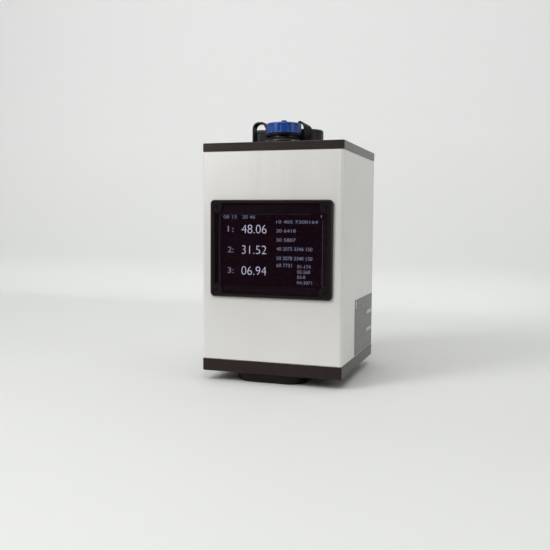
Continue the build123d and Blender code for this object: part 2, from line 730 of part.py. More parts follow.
# flat rubber straps between the washer and the ring
with BuildPart() as tether_strap_left:
    with BuildLine() as strap_left_path:
        FilletPolyline((strap_left_x, strap_left_y, sock_z0), (strap_left_x, strap_left_y, 178.2),
                       (-21.4, strap_left_y, 181.5), (-16.6, strap_left_y, 181.5), (strap_left_lug_x, strap_left_y, 177.8),
                       (strap_left_lug_x, strap_left_y, ring_z1), radius=2.4)
    with BuildSketch(Plane(origin=(strap_left_x, strap_left_y, sock_z0), x_dir=(1, 0, 0), z_dir=(0, 0, 1))):
        Rectangle(strap_left_t, strap_w)
    sweep(path=strap_left_path.wires()[0])

# The right strap stands beside the cap with its face to the front right, leans
# over the cap's back and comes down behind it, so it twists by a quarter turn.
# Stations: distance right of and behind the socket's axis as seen from the
# front right, height, width, and the direction of the width (degrees from right).
strap_right_stations = [
    (14.9, 0.0, sock_z0, 3.0, 0.0, 0.0),
    (15.0, 0.0, 169.0, 3.9, 0.0, 0.0),
    (15.8, 0.2, 172.0, 5.7, 1.0, 0.0),
    (16.05, 0.8, 175.0, 6.3, 5.0, 0.0),
    (15.5, 2.2, 178.2, 5.7, 18.0, -8.0),
    (13.9, 5.0, 180.7, 5.3, 38.0, -14.0),
    (11.5, 8.3, 182.2, 4.7, 66.0, -10.0),
    (9.4, 11.0, 180.9, 4.4, 98.0, -4.0),
    (8.3, 11.7, 178.0, 4.4, 124.0, 0.0),
    (7.9, 11.5, 175.0, 4.4, 142.0, 0.0),
    (7.9, 11.4, ring_z1, 4.4, 145.5, 0.0)]
turn = Axis.Z
to_right = Vector(1, 0, 0).rotate(turn, strap_right_deg)
to_back = Vector(0, 1, 0).rotate(turn, strap_right_deg)
strap_right_points = [Vector(0, sock_y, z) + to_right * r + to_back * b for r, b, z, _, _, _ in strap_right_stations]
strap_right_planes = []
for i, (p, (_, _, _, w, a, tilt)) in enumerate(zip(strap_right_points, strap_right_stations)):
    before = strap_right_points[max(i - 1, 0)]
    after = strap_right_points[min(i + 1, len(strap_right_points) - 1)]
    along = (after - before).normalized()
    if i == 0:
        along = Vector(0, 0, 1)
    if i == len(strap_right_points) - 1:
        along = Vector(0, 0, -1)
    wide = to_right.rotate(turn, a) + Vector(0, 0, 1) * (tilt / 57.3)
    wide = (wide - along * wide.dot(along)).normalized()
    strap_right_planes.append((Plane(origin=p, x_dir=wide, z_dir=along), w))

with BuildPart() as tether_strap_right:
    for place, w in strap_right_planes:
        with BuildSketch(place):
            Rectangle(w, strap_t)
    loft(ruled=True)

# ---------------------------------------------------------------- port block
with BuildPart() as port_housing:
    with BuildSketch(UP.offset(deck_z)):
        port_outline()
    extrude(amount=port_top - deck_z)
    # two hinge knuckles on a rib behind the block
    with BuildSketch(Plane.YZ.offset(port_cx - knuckle_out)):
        with BuildLine():
            Polyline((port_y1 - 0.5, 168.5), (port_y1, 168.5), (hinge_y + knuckle_r, hinge_z - 1.5),
                     (hinge_y + knuckle_r, hinge_z), (hinge_y, hinge_z), (port_y1 - 0.5, port_top - 0.2), close=True)
        make_face()
        with Locations((hinge_y, hinge_z)):
            Circle(knuckle_r)
    extrude(amount=knuckle_out - knuckle_in)
    with BuildSketch(Plane.YZ.offset(port_cx + knuckle_in)):
        with BuildLine():
            Polyline((port_y1 - 0.5, 168.5), (port_y1, 168.5), (hinge_y + knuckle_r, hinge_z - 1.5),
                     (hinge_y + knuckle_r, hinge_z), (hinge_y, hinge_z), (port_y1 - 0.5, port_top - 0.2), close=True)
        make_face()
        with Locations((hinge_y, hinge_z)):
            Circle(knuckle_r)
    extrude(amount=knuckle_out - knuckle_in)
    with BuildSketch(Plane.YZ.offset(port_cx - 13.0)):
        with Locations((hinge_y, hinge_z)):
            Circle(pin_r + 0.03)
    extrude(amount=26.0, mode=Mode.SUBTRACT)
    # well for the jack
    with BuildSketch(UP.offset(deck_z)):
        with Locations((port_cx, port_cy)):
            RectangleRounded(jack_w + 0.4, jack_d + 0.4, 0.6)
    extrude(amount=port_top - deck_z, mode=Mode.SUBTRACT)
    # seal groove round the well
    with BuildSketch(UP.offset(port_top - 0.9)):
        with Locations((port_cx, port_cy)):
            RectangleRounded(23.0, 23.0, 3.0)
            RectangleRounded(19.8, 19.8, 1.6, mode=Mode.SUBTRACT)
    extrude(amount=0.9, mode=Mode.SUBTRACT)
    # screws that hold the block down, sunk in its top
    with BuildSketch(UP.offset(deck_z)):
        with Locations((port_cx, port_cy)):
            with GridLocations(port_screw_dx, port_screw_dy, 2, 2):
                Circle(1.65)
    extrude(amount=port_top - deck_z, mode=Mode.SUBTRACT)
    with BuildSketch(UP.offset(port_top)):
        with Locations((port_cx, port_cy)):
            with GridLocations(port_screw_dx, port_screw_dy, 2, 2):
                Circle(3.0)
    extrude(amount=-4.0, mode=Mode.SUBTRACT)

with BuildPart() as port_screws:
    with BuildSketch(UP.offset(port_top - 4.0)):
        with Locations((port_cx, port_cy)):
            with GridLocations(port_screw_dx, port_screw_dy, 2, 2):
                Circle(2.75)
    extrude(amount=3.0)
    with BuildSketch(UP.offset(port_top - 4.0)):
        with Locations((port_cx, port_cy)):
            with GridLocations(port_screw_dx, port_screw_dy, 2, 2):
                Circle(1.5)
    extrude(amount=-12.0)
    with BuildSketch(UP.offset(port_top - 1.0)):
        with Locations((port_cx, port_cy)):
            with GridLocations(port_screw_dx, port_screw_dy, 2, 2):
                RegularPolygon(1.4, 6)
    extrude(amount=-1.5, mode=Mode.SUBTRACT)

with BuildPart() as port_seal:
    with BuildSketch(UP.offset(port_top - 0.9)):
        with Locations((port_cx, port_cy)):
            RectangleRounded(23.0, 23.0, 3.0)
            RectangleRounded(19.8, 19.8, 1.6, mode=Mode.SUBTRACT)
    extrude(amount=1.0)

with BuildPart() as port_lid:
    with BuildSketch(UP.offset(lid_z0)):
        port_outline()
    extrude(amount=lid_t)
    fillet(port_lid.faces().sort_by(Axis.Z)[-1].outer_wire().edges(), 1.2)
    # middle knuckle
    with BuildSketch(Plane.YZ.offset(port_cx - knuckle_in + 0.3)):
        with BuildLine():
            Polyline((port_y1 - 2.5, lid_z0), (hinge_y, lid_z0), (hinge_y, hinge_z + knuckle_r - 0.3),
                     (port_y1 - 2.5, lid_z0 + 1.6), close=True)
        make_face()
        with Locations((hinge_y, hinge_z)):
            Circle(knuckle_r)
    extrude(amount=2 * knuckle_in - 0.6)
    with BuildSketch(Plane.YZ.offset(port_cx - 13.0)):
        with Locations((hinge_y, hinge_z)):
            Circle(pin_r + 0.08)
    extrude(amount=26.0, mode=Mode.SUBTRACT)

with BuildPart() as lid_hinge_pin:
    with BuildSketch(Plane.YZ.offset(port_cx - knuckle_out - 0.4)):
        with Locations((hinge_y, hinge_z)):
            Circle(pin_r)
    extrude(amount=2 * knuckle_out + 0.8)

# ------------------------------------------------------------------- writing
housing_tube.part.label = "housing_tube"
export_step(housing_tube.part, "parts/housing_tube.step")
base_plate.part.label = "base_plate"
export_step(base_plate.part, "parts/base_plate.step")
top_plate.part.label = "top_plate"
export_step(top_plate.part, "parts/top_plate.step")
base_gasket.part.label = "base_gasket"
export_step(base_gasket.part, "parts/base_gasket.step")
top_gasket.part.label = "top_gasket"
export_step(top_gasket.part, "parts/top_gasket.step")
top_plate_screws.part.label = "top_plate_screws"
export_step(top_plate_screws.part, "parts/top_plate_screws.step")
base_plate_screws.part.label = "base_plate_screws"
export_step(base_plate_screws.part, "parts/base_plate_screws.step")
display_bezel.part.label = "display_bezel"
export_step(display_bezel.part, "parts/display_bezel.step")
bezel_gasket.part.label = "bezel_gasket"
export_step(bezel_gasket.part, "parts/bezel_gasket.step")
bezel_screws.part.label = "bezel_screws"
export_step(bezel_screws.part, "parts/bezel_screws.step")
display_window.part.label = "display_window"
export_step(display_window.part, "parts/display_window.step")
lcd_panel.part.label = "lcd_panel"
export_step(lcd_panel.part, "parts/lcd_panel.step")
display_board.part.label = "display_board"
export_step(display_board.part, "parts/display_board.step")
display_standoffs.part.label = "display_standoffs"
export_step(display_standoffs.part, "parts/display_standoffs.step")
display_ribbon.part.label = "display_ribbon"
export_step(display_ribbon.part, "parts/display_ribbon.step")
rating_label.part.label = "rating_label"
export_step(rating_label.part, "parts/rating_label.step")
aperture_hood.part.label = "aperture_hood"
export_step(aperture_hood.part, "parts/aperture_hood.step")
hood_screws.part.label = "hood_screws"
export_step(hood_screws.part, "parts/hood_screws.step")
window_seal.part.label = "window_seal"
export_step(window_seal.part, "parts/window_seal.step")
optical_window.part.label = "optical_window"
export_step(optical_window.part, "parts/optical_window.step")
window_retainer.part.label = "window_retainer"
export_step(window_retainer.part, "parts/window_retainer.step")
led_board_standoffs.part.label = "led_board_standoffs"
export_step(led_board_standoffs.part, "parts/led_board_standoffs.step")
led_ring_board.part.label = "led_ring_board"
export_step(led_ring_board.part, "parts/led_ring_board.step")
illumination_leds.part.label = "illumination_leds"
export_step(illumination_leds.part, "parts/illumination_leds.step")
light_baffle.part.label = "light_baffle"
export_step(light_baffle.part, "parts/light_baffle.step")
optics_barrel.part.label = "optics_barrel"
export_step(optics_barrel.part, "parts/optics_barrel.step")
objective_lens.part.label = "objective_lens"
export_step(objective_lens.part, "parts/objective_lens.step")
lens_retainer.part.label = "lens_retainer"
export_step(lens_retainer.part, "parts/lens_retainer.step")
optics_posts.part.label = "optics_posts"
export_step(optics_posts.part, "parts/optics_posts.step")
optics_bracket.part.label = "optics_bracket"
export_step(optics_bracket.part, "parts/optics_bracket.step")
sensor_board_posts.part.label = "sensor_board_posts"
export_step(sensor_board_posts.part, "parts/sensor_board_posts.step")
sensor_board.part.label = "sensor_board"
export_step(sensor_board.part, "parts/sensor_board.step")
spectral_sensor.part.label = "spectral_sensor"
export_step(spectral_sensor.part, "parts/spectral_sensor.step")
sensor_ribbon.part.label = "sensor_ribbon"
export_step(sensor_ribbon.part, "parts/sensor_ribbon.step")
chassis_plate.part.label = "chassis_plate"
export_step(chassis_plate.part, "parts/chassis_plate.step")
main_board_standoffs.part.label = "main_board_standoffs"
export_step(main_board_standoffs.part, "parts/main_board_standoffs.step")
main_board.part.label = "main_board"
export_step(main_board.part, "parts/main_board.step")
processor_chips.part.label = "processor_chips"
export_step(processor_chips.part, "parts/processor_chips.step")
interface_board.part.label = "interface_board"
export_step(interface_board.part, "parts/interface_board.step")
interface_standoffs.part.label = "interface_standoffs"
export_step(interface_standoffs.part, "parts/interface_standoffs.step")
network_jack.part.label = "network_jack"
export_step(network_jack.part, "parts/network_jack.step")
mounting_nut_plate.part.label = "mounting_nut_plate"
export_step(mounting_nut_plate.part, "parts/mounting_nut_plate.step")
tether_base.part.label = "tether_base"
export_step(tether_base.part, "parts/tether_base.step")
signal_socket.part.label = "signal_socket"
export_step(signal_socket.part, "parts/signal_socket.step")
socket_insert.part.label = "socket_insert"
export_step(socket_insert.part, "parts/socket_insert.step")
socket_contacts.part.label = "socket_contacts"
export_step(socket_contacts.part, "parts/socket_contacts.step")
socket_locknut.part.label = "socket_locknut"
export_step(socket_locknut.part, "parts/socket_locknut.step")
signal_harness.part.label = "signal_harness"
export_step(signal_harness.part, "parts/signal_harness.step")
dust_cap.part.label = "dust_cap"
export_step(dust_cap.part, "parts/dust_cap.step")
cap_seal.part.label = "cap_seal"
export_step(cap_seal.part, "parts/cap_seal.step")
cap_rivet.part.label = "cap_rivet"
export_step(cap_rivet.part, "parts/cap_rivet.step")
tether_ring.part.label = "tether_ring"
export_step(tether_ring.part, "parts/tether_ring.step")
tether_strap_left.part.label = "tether_strap_left"
export_step(tether_strap_left.part, "parts/tether_strap_left.step")
tether_strap_right.part.label = "tether_strap_right"
export_step(tether_strap_right.part, "parts/tether_strap_right.step")
port_housing.part.label = "port_housing"
export_step(port_housing.part, "parts/port_housing.step")
port_screws.part.label = "port_screws"
export_step(port_screws.part, "parts/port_screws.step")
port_seal.part.label = "port_seal"
export_step(port_seal.part, "parts/port_seal.step")
port_lid.part.label = "port_lid"
export_step(port_lid.part, "parts/port_lid.step")
lid_hinge_pin.part.label = "lid_hinge_pin"
export_step(lid_hinge_pin.part, "parts/lid_hinge_pin.step")
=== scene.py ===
import math

import bmesh
import bpy
from mathutils import Matrix, Vector


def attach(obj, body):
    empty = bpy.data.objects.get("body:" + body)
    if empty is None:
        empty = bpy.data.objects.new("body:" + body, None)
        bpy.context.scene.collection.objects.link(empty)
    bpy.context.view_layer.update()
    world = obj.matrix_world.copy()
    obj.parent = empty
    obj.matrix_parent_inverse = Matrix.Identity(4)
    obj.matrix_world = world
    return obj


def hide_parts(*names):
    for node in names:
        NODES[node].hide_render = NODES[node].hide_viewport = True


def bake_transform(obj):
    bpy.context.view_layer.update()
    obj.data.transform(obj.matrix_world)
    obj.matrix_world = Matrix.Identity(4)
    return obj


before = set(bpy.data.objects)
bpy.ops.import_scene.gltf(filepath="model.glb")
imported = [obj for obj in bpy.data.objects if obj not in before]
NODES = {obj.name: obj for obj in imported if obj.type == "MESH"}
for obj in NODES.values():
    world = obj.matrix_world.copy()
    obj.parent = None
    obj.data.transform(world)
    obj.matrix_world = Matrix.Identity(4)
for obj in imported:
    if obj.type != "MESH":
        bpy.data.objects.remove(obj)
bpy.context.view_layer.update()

scene = bpy.context.scene
MM = 0.001


# ---------------------------------------------------------------- camera
cam_data = bpy.data.cameras.new("view_camera")
cam_data.sensor_width = 36.0
cam_data.lens = 726.08 / 550 * 36
cam_data.shift_x = -(278.05 - 275.0) / 550
cam_data.shift_y = (271.53 - 275.0) / 550
cam_data.clip_start = 0.01
cam_data.clip_end = 20.0
cam = bpy.data.objects.new("view_camera", cam_data)
scene.collection.objects.link(cam)
right = Vector((0.94914, 0.31476, 0.00728))
down = Vector((0.02910, -0.06468, -0.99748))
forward = Vector((-0.31350, 0.94697, -0.07054))
cam.matrix_world = Matrix((
    (right.x, -down.x, -forward.x, 0.1587),
    (right.y, -down.y, -forward.y, -0.5144),
    (right.z, -down.z, -forward.z, 0.1124),
    (0, 0, 0, 1)))
scene.camera = cam
scene.view_settings.view_transform = "Standard"
scene.view_settings.look = "None"


# ---------------------------------------------------------------- node helpers
def new_material(name):
    m = bpy.data.materials.new(name)
    m.use_nodes = True
    nt = m.node_tree
    nt.nodes.clear()
    out = nt.nodes.new("ShaderNodeOutputMaterial")
    bsdf = nt.nodes.new("ShaderNodeBsdfPrincipled")
    nt.links.new(bsdf.outputs["BSDF"], out.inputs["Surface"])
    return m, nt, bsdf


def coords(nt, scale=(1, 1, 1)):
    tc = nt.nodes.new("ShaderNodeTexCoord")
    mp = nt.nodes.new("ShaderNodeMapping")
    mp.inputs["Scale"].default_value = scale
    nt.links.new(tc.outputs["Object"], mp.inputs["Vector"])
    return mp.outputs["Vector"]


def noise(nt, vec, scale, detail=3.0, rough=0.5):
    n = nt.nodes.new("ShaderNodeTexNoise")
    n.inputs["Scale"].default_value = scale
    n.inputs["Detail"].default_value = detail
    n.inputs["Roughness"].default_value = rough
    nt.links.new(vec, n.inputs["Vector"])
    return n.outputs["Fac"]


def ramp(nt, fac, stops):
    r = nt.nodes.new("ShaderNodeValToRGB")
    while len(r.color_ramp.elements) < len(stops):
        r.color_ramp.elements.new(0.5)
    for e, (p, c) in zip(r.color_ramp.elements, stops):
        e.position = p
        e.color = (c[0], c[1], c[2], 1.0)
    nt.links.new(fac, r.inputs["Fac"])
    return r.outputs["Color"]


def spread(nt, fac, lo, hi, a=0.3, b=0.7):
    m = nt.nodes.new("ShaderNodeMapRange")
    m.inputs["From Min"].default_value = a
    m.inputs["From Max"].default_value = b
    m.inputs["To Min"].default_value = lo
    m.inputs["To Max"].default_value = hi
    nt.links.new(fac, m.inputs["Value"])
    return m.outputs["Result"]


def bump(nt, bsdf, height, strength, distance, chain=None):
    b = nt.nodes.new("ShaderNodeBump")
    b.inputs["Strength"].default_value = strength
    b.inputs["Distance"].default_value = distance
    nt.links.new(height, b.inputs["Height"])
    if chain is not None:
        nt.links.new(chain, b.inputs["Normal"])
    nt.links.new(b.outputs["Normal"], bsdf.inputs["Normal"])
    return b.outputs["Normal"]


def grained(name, dark, light, rough=(0.4, 0.5), metallic=0.0, grain=2500.0, grain_depth=0.00002, blotch=25.0,
            stretch=(1, 1, 1), strength=0.4, specular=None):
    """A surface with slow colour variation, a fine grain in its roughness and a fine bump."""
    m, nt, b = new_material(name)
    v = coords(nt)
    vs = coords(nt, stretch)
    slow = noise(nt, v, blotch, 2.0)
    fine = noise(nt, vs, grain, 3.0, 0.6)
    nt.links.new(ramp(nt, slow, [(0.3, dark), (0.7, light)]), b.inputs["Base Color"])
    nt.links.new(spread(nt, fine, rough[0], rough[1]), b.inputs["Roughness"])
    b.inputs["Metallic"].default_value = metallic
    if specular is not None:
        b.inputs["Specular IOR Level"].default_value = specular
    bump(nt, b, fine, strength, grain_depth)
    return m


# ---------------------------------------------------------------- materials
def silver_material():
    """Satin anodised extrusion: faint drawn lines along Z over a fine blasted grain."""
    m, nt, b = new_material("silver_anodised")
    v = coords(nt)
    vz = coords(nt, (1.0, 1.0, 0.012))
    slow = noise(nt, v, 14.0, 2.0)
    drawn = noise(nt, vz, 900.0, 4.0, 0.65)
    fine = noise(nt, v, 6000.0, 2.0, 0.5)
    nt.links.new(ramp(nt, slow, [(0.25, (0.640, 0.630, 0.603)), (0.75, (0.690, 0.680, 0.652))]), b.inputs["Base Color"])
    nt.links.new(spread(nt, drawn, 0.36, 0.46), b.inputs["Roughness"])
    b.inputs["Metallic"].default_value = 0.36
    n1 = bump(nt, b, drawn, 0.05, 0.00002)
    bump(nt, b, fine, 0.10, 0.00001, n1)
    return m


SILVER = silver_material()
# The top plate, base plate and hood share one black anodised finish; the base plate's and hood's copies are darker:
# painted shade on the lower parts and under the base plate's overhang.
TOP_BLACK = grained("top_black_anodised", (0.0180, 0.0118, 0.0106), (0.0240, 0.0164, 0.0150), rough=(0.24, 0.33), grain=7000.0,
                    grain_depth=0.00001, strength=0.25, specular=0.46)
BASE_BLACK_PAINTED_SHADE = grained("base_black_painted_shade", (0.0104, 0.0040, 0.0034), (0.0140, 0.0060, 0.0052), rough=(0.22, 0.31), grain=7000.0,
                     grain_depth=0.00001, strength=0.25, specular=0.28)
HOOD_BLACK_PAINTED_SHADE = grained("hood_black_painted_shade", (0.0088, 0.0038, 0.0036), (0.0120, 0.0054, 0.0052), rough=(0.26, 0.36), grain=7000.0,
                     grain_depth=0.00001, strength=0.25, specular=0.18)
BEZEL_BLACK = grained("bezel_black", (0.0092, 0.0044, 0.0058), (0.0124, 0.0062, 0.0080), rough=(0.26, 0.34), grain=6000.0,
                      grain_depth=0.00001, strength=0.2, specular=0.17)
BEZEL_SCREW = grained("frame_screw_black", (0.0080, 0.0052, 0.0060), (0.0112, 0.0080, 0.0088), rough=(0.28, 0.38), metallic=0.2,
                      grain=5000.0, grain_depth=0.00001, strength=0.2, specular=0.20)
MOULDED = grained("moulded_black", (0.0072, 0.0050, 0.0054), (0.0108, 0.0080, 0.0084), rough=(0.36, 0.50), grain=1600.0,
                  grain_depth=0.00003, strength=0.35, specular=0.24)
GLOSS_MOULDED = grained("socket_black", (0.0110, 0.0076, 0.0074), (0.0150, 0.0108, 0.0106), rough=(0.20, 0.28), grain=900.0,
                        grain_depth=0.00002, strength=0.10, specular=0.75)
RUBBER = grained("strap_rubber", (0.0052, 0.0036, 0.0040), (0.0084, 0.0062, 0.0066), rough=(0.36, 0.50), grain=1800.0,
                 grain_depth=0.00003, strength=0.35, specular=0.14)
# A lighter copy of the strap rubber, used on the left strap only: painted light on the strap that faces the lamps.
RUBBER_PAINTED_LIT = grained("strap_rubber_painted_lit", (0.0140, 0.0124, 0.0128), (0.0200, 0.0180, 0.0185), rough=(0.34, 0.46), grain=1800.0,
                       grain_depth=0.00003, strength=0.35, specular=0.30)
STEEL_BLACK = grained("black_oxide_steel", (0.020, 0.020, 0.021), (0.034, 0.033, 0.033), rough=(0.28, 0.42), metallic=0.75,
                      grain=3500.0, grain_depth=0.00001, strength=0.2)
STEEL = grained("plain_steel", (0.52, 0.52, 0.52), (0.62, 0.62, 0.61), rough=(0.25, 0.4), metallic=1.0, grain=2500.0,
                grain_depth=0.00001, strength=0.2)
ALU = grained("milled_aluminium", (0.62, 0.62, 0.62), (0.70, 0.70, 0.70), rough=(0.32, 0.45), metallic=1.0, grain=1500.0,
              grain_depth=0.00001, strength=0.2, stretch=(1, 0.05, 1))
BRASS = grained("plated_brass", (0.66, 0.46, 0.17), (0.78, 0.57, 0.24), rough=(0.18, 0.3), metallic=1.0, grain=3000.0,
                grain_depth=0.00001, strength=0.15)
BOARD = grained("circuit_board_mask", (0.008, 0.085, 0.034), (0.016, 0.13, 0.055), rough=(0.25, 0.4), grain=700.0,
                grain_depth=0.00003, strength=0.4, blotch=160.0)
CHIP = grained("component_black", (0.016, 0.016, 0.016), (0.026, 0.026, 0.026), rough=(0.5, 0.65), grain=2500.0,
               grain_depth=0.00002)
LED = grained("led_lens", (0.80, 0.72, 0.30), (0.90, 0.84, 0.50), rough=(0.2, 0.35), grain=1500.0, grain_depth=0.00002)
FILM = grained("ribbon_film", (0.62, 0.58, 0.46), (0.74, 0.70, 0.58), rough=(0.35, 0.5), grain=1200.0, grain_depth=0.00002)
OPTICS_BLACK = grained("optics_black", (0.006, 0.006, 0.006), (0.010, 0.010, 0.010), rough=(0.6, 0.75), grain=2500.0,
                       grain_depth=0.00002)
LABEL_GREY = grained("label_film", (0.124, 0.125, 0.123), (0.150, 0.151, 0.149), rough=(0.38, 0.5), grain=3500.0,
                     grain_depth=0.00001, strength=0.15, blotch=60.0)
LABEL_MARK = grained("label_print_light", (0.42, 0.43, 0.42), (0.52, 0.53, 0.52), rough=(0.4, 0.5), grain=3500.0,
                     grain_depth=0.00001, strength=0.1)
LABEL_FAINT = grained("label_print_faint", (0.165, 0.166, 0.164), (0.20, 0.20, 0.198), rough=(0.4, 0.5), grain=3500.0,
                      grain_depth=0.00001, strength=0.1)


def blue_material():
    m, nt, b = new_material("cap_blue")
    v = coords(nt)
    slow = noise(nt, v, 90.0, 3.0)
    fine = noise(nt, v, 2600.0, 3.0, 0.6)
    nt.links.new(ramp(nt, slow, [(0.3, (0.0080, 0.042, 0.215)), (0.7, (0.0130, 0.058, 0.275))]), b.inputs["Base Color"])
    nt.links.new(spread(nt, fine, 0.22, 0.30), b.inputs["Roughness"])
    b.inputs["Specular IOR Level"].default_value = 0.32
    bump(nt, b, fine, 0.22, 0.00002)
    return m


def glass_material(name, tint, rough=0.03, specular=0.5):
    m, nt, b = new_material(name)
    v = coords(nt)
    smear = noise(nt, v, 55.0, 4.0, 0.6)
    nt.links.new(ramp(nt, smear, [(0.3, tint), (0.7, tuple(min(1.0, c * 1.03) for c in tint))]), b.inputs["Base Color"])
    nt.links.new(spread(nt, smear, rough, rough + 0.02), b.inputs["Roughness"])
    b.inputs["Transmission Weight"].default_value = 1.0
    b.inputs["IOR"].default_value = 1.5
    b.inputs["Specular IOR Level"].default_value = specular
    return m


BLUE = blue_material()
COVER_GLASS = glass_material("cover_glass", (0.80, 0.79, 0.80), 0.02, 0.25)
OPTIC_GLASS = glass_material("optic_glass", (0.93, 0.96, 0.96), 0.01)


def lcd_material():
    """The unlit part of the panel: near black, faintly warm, with the pixel grid's sheen."""
    m, nt, b = new_material("lcd_black")
    v = coords(nt)
    slow = noise(nt, v, 22.0, 2.0)
    grid = noise(nt, v, 4000.0, 1.0)
    nt.links.new(ramp(nt, slow, [(0.3, (0.0022, 0.0012, 0.0018)), (0.7, (0.0034, 0.0018, 0.0026))]), b.inputs["Base Color"])
    nt.links.new(spread(nt, grid, 0.22, 0.34), b.inputs["Roughness"])
    b.inputs["Specular IOR Level"].default_value = 0.12
    glow = ramp(nt, slow, [(0.25, (0.0050, 0.0010, 0.0032)), (0.75, (0.0078, 0.0018, 0.0048))])
    nt.links.new(glow, b.inputs["Emission Color"])
    b.inputs["Emission Strength"].default_value = 1.0
    return m


def glow_material(name, lo, hi, strength):
    m, nt, b = new_material(name)
    v = coords(nt)
    n = noise(nt, v, 1500.0, 2.0)
    nt.links.new(ramp(nt, n, [(0.35, lo), (0.65, hi)]), b.inputs["Emission Color"])
    b.inputs["Base Color"].default_value = (0.02, 0.02, 0.02, 1)
    b.inputs["Roughness"].default_value = 0.5
    b.inputs["Emission Strength"].default_value = strength
    return m


LCD = lcd_material()
GLASS_PRINT = grained("glass_border_print", (0.0120, 0.0042, 0.0084), (0.0170, 0.0064, 0.0120), rough=(0.45, 0.6), grain=3000.0,
                      grain_depth=0.00001, strength=0.1, specular=0.1)
# Near-black copy for the blue cap's lower lip and ring groove: painted shade under the cap's grips.
CAP_PAINTED_SHADE = grained("cap_lip_painted_shade", (0.0080, 0.0045, 0.0070), (0.0120, 0.0070, 0.0100), rough=(0.40, 0.52), grain=1800.0,
                  grain_depth=0.00003, strength=0.3, specular=0.3)
CAP_KNOB = grained("cap_knob_navy", (0.004, 0.011, 0.040), (0.006, 0.016, 0.060), rough=(0.34, 0.44), grain=1800.0,
                   grain_depth=0.00002, strength=0.2, specular=0.35)
GLOW_DIGIT = glow_material("screen_digit", (0.66, 0.68, 0.94), (0.80, 0.81, 1.0), 1.0)
GLOW_TEXT = glow_material("screen_text", (0.40, 0.44, 0.72), (0.54, 0.58, 0.86), 0.42)
GLOW_DIM = glow_material("screen_text_dim", (0.24, 0.27, 0.52), (0.34, 0.37, 0.64), 0.56)
GLOW_LINE = glow_material("screen_line", (0.14, 0.13, 0.17), (0.19, 0.18, 0.23), 0.30)


def assign(name, m):
    o = NODES[name]
    o.data.materials.clear()
    o.data.materials.append(m)


for names, m in (
        (("housing_tube",), SILVER),
        (("top_plate",), TOP_BLACK),
        # the base plate and hood take the darker copies: painted shade
        (("base_plate",), BASE_BLACK_PAINTED_SHADE),
        (("aperture_hood",), HOOD_BLACK_PAINTED_SHADE),
        (("display_bezel",), BEZEL_BLACK),
        (("port_housing", "port_lid", "network_jack", "socket_locknut"), MOULDED),
        (("socket_insert", "signal_socket"), GLOSS_MOULDED),
        (("top_gasket", "base_gasket", "bezel_gasket", "window_seal", "cap_seal", "port_seal", "tether_base", "tether_ring",
          "tether_strap_left", "tether_strap_right"), RUBBER),
        (("top_plate_screws", "base_plate_screws", "hood_screws", "port_screws"), STEEL_BLACK),
        (("bezel_screws",), BEZEL_SCREW),
        (("lid_hinge_pin", "mounting_nut_plate", "optics_posts"), STEEL),
        (("optics_bracket", "chassis_plate"), ALU),
        (("display_standoffs", "led_board_standoffs", "sensor_board_posts", "main_board_standoffs", "interface_standoffs",
          "socket_contacts"), BRASS),
        (("display_board", "led_ring_board", "sensor_board", "main_board", "interface_board"), BOARD),
        (("processor_chips", "spectral_sensor", "signal_harness"), CHIP),
        (("illumination_leds",), LED),
        (("display_ribbon", "sensor_ribbon"), FILM),
        (("window_retainer", "light_baffle", "optics_barrel", "lens_retainer"), OPTICS_BLACK),
        (("display_window",), COVER_GLASS),
        (("optical_window", "objective_lens"), OPTIC_GLASS),
        (("lcd_panel",), LCD),
        (("rating_label",), LABEL_GREY),
        (("dust_cap", "cap_rivet"), BLUE)):
    for n in names:
        assign(n, m)


# ---------------------------------------------------------------- mesh helpers
def mesh_object(name, verts, faces, material, smooth=True, body=None, merge=False):
    me = bpy.data.meshes.new(name)
    me.from_pydata([tuple(v) for v in verts], [], faces)
    me.validate()
    bm = bmesh.new()
    bm.from_mesh(me)
    if merge:
        bmesh.ops.remove_doubles(bm, verts=bm.verts, dist=1e-7)
    bmesh.ops.recalc_face_normals(bm, faces=bm.faces)
    bm.to_mesh(me)
    bm.free()
    me.update()
    o = bpy.data.objects.new(name, me)
    scene.collection.objects.link(o)
    me.materials.append(material)
    if smooth:
        for p in me.polygons:
            p.use_smooth = True
    if body:
        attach(o, body)
    return o


def rounded(points, radii, n=5, support=0.12):
    """Closed outline with its corners rounded, and a point just past each arc so that flats shade flat."""
    out = []
    count = len(points)
    for i, (p, r) in enumerate(zip(points, radii)):
        a, b = points[i - 1], points[(i + 1) % count]
        p, a, b = Vector(p), Vector(a), Vector(b)
        da, db = a - p, b - p
        la, lb = da.length, db.length
        da, db = da.normalized(), db.normalized()
        ang = math.acos(max(-1.0, min(1.0, da.dot(db))))
        if r <= 0 or ang > math.radians(178):
            out.append(p)
            continue
        t = min(r / math.tan(ang / 2), 0.45 * la, 0.45 * lb)
        r = t * math.tan(ang / 2)
        centre = p + (da + db).normalized() * (r / math.sin(ang / 2))
        s, e = p + da * t, p + db * t
        if la > 2.6 * t + support:
            out.append(s + da * support)
        v0, v1 = s - centre, e - centre
        sweep = v0.angle_signed(v1) if v0.length > 1e-9 else 0.0
        for k in range(n + 1):
            w = k / n
            turned = (v0 * math.sin((1 - w) * abs(sweep)) + v1 * math.sin(w * abs(sweep))) / max(1e-9, math.sin(abs(sweep)))
            out.append(centre + turned)
        if lb > 2.6 * t + support:
            out.append(e + db * support)
    return [(q.x, q.y) for q in out]


def lathe(name, profile, material, body, cx=0.0, cy=0.0, segs=240, radial=None):
    """Turns a closed outline of (radius, height) in millimetres round an upright axis."""
    n = len(profile)
    verts, faces = [], []
    for k in range(segs):
        a = 2 * math.pi * k / segs
        for r, z in profile:
            rr = radial(a, r, z) if radial else r
            verts.append(((cx + rr * math.cos(a)) * MM, (cy + rr * math.sin(a)) * MM, z * MM))
    for k in range(segs):
        k2 = (k + 1) % segs
        for i in range(n):
            j = (i + 1) % n
            if profile[i][0] < 1e-6 and profile[j][0] < 1e-6:
                continue
            faces.append((k * n + i, k2 * n + i, k2 * n + j, k * n + j))
    return mesh_object(name, verts, faces, material, body=body, merge=True)


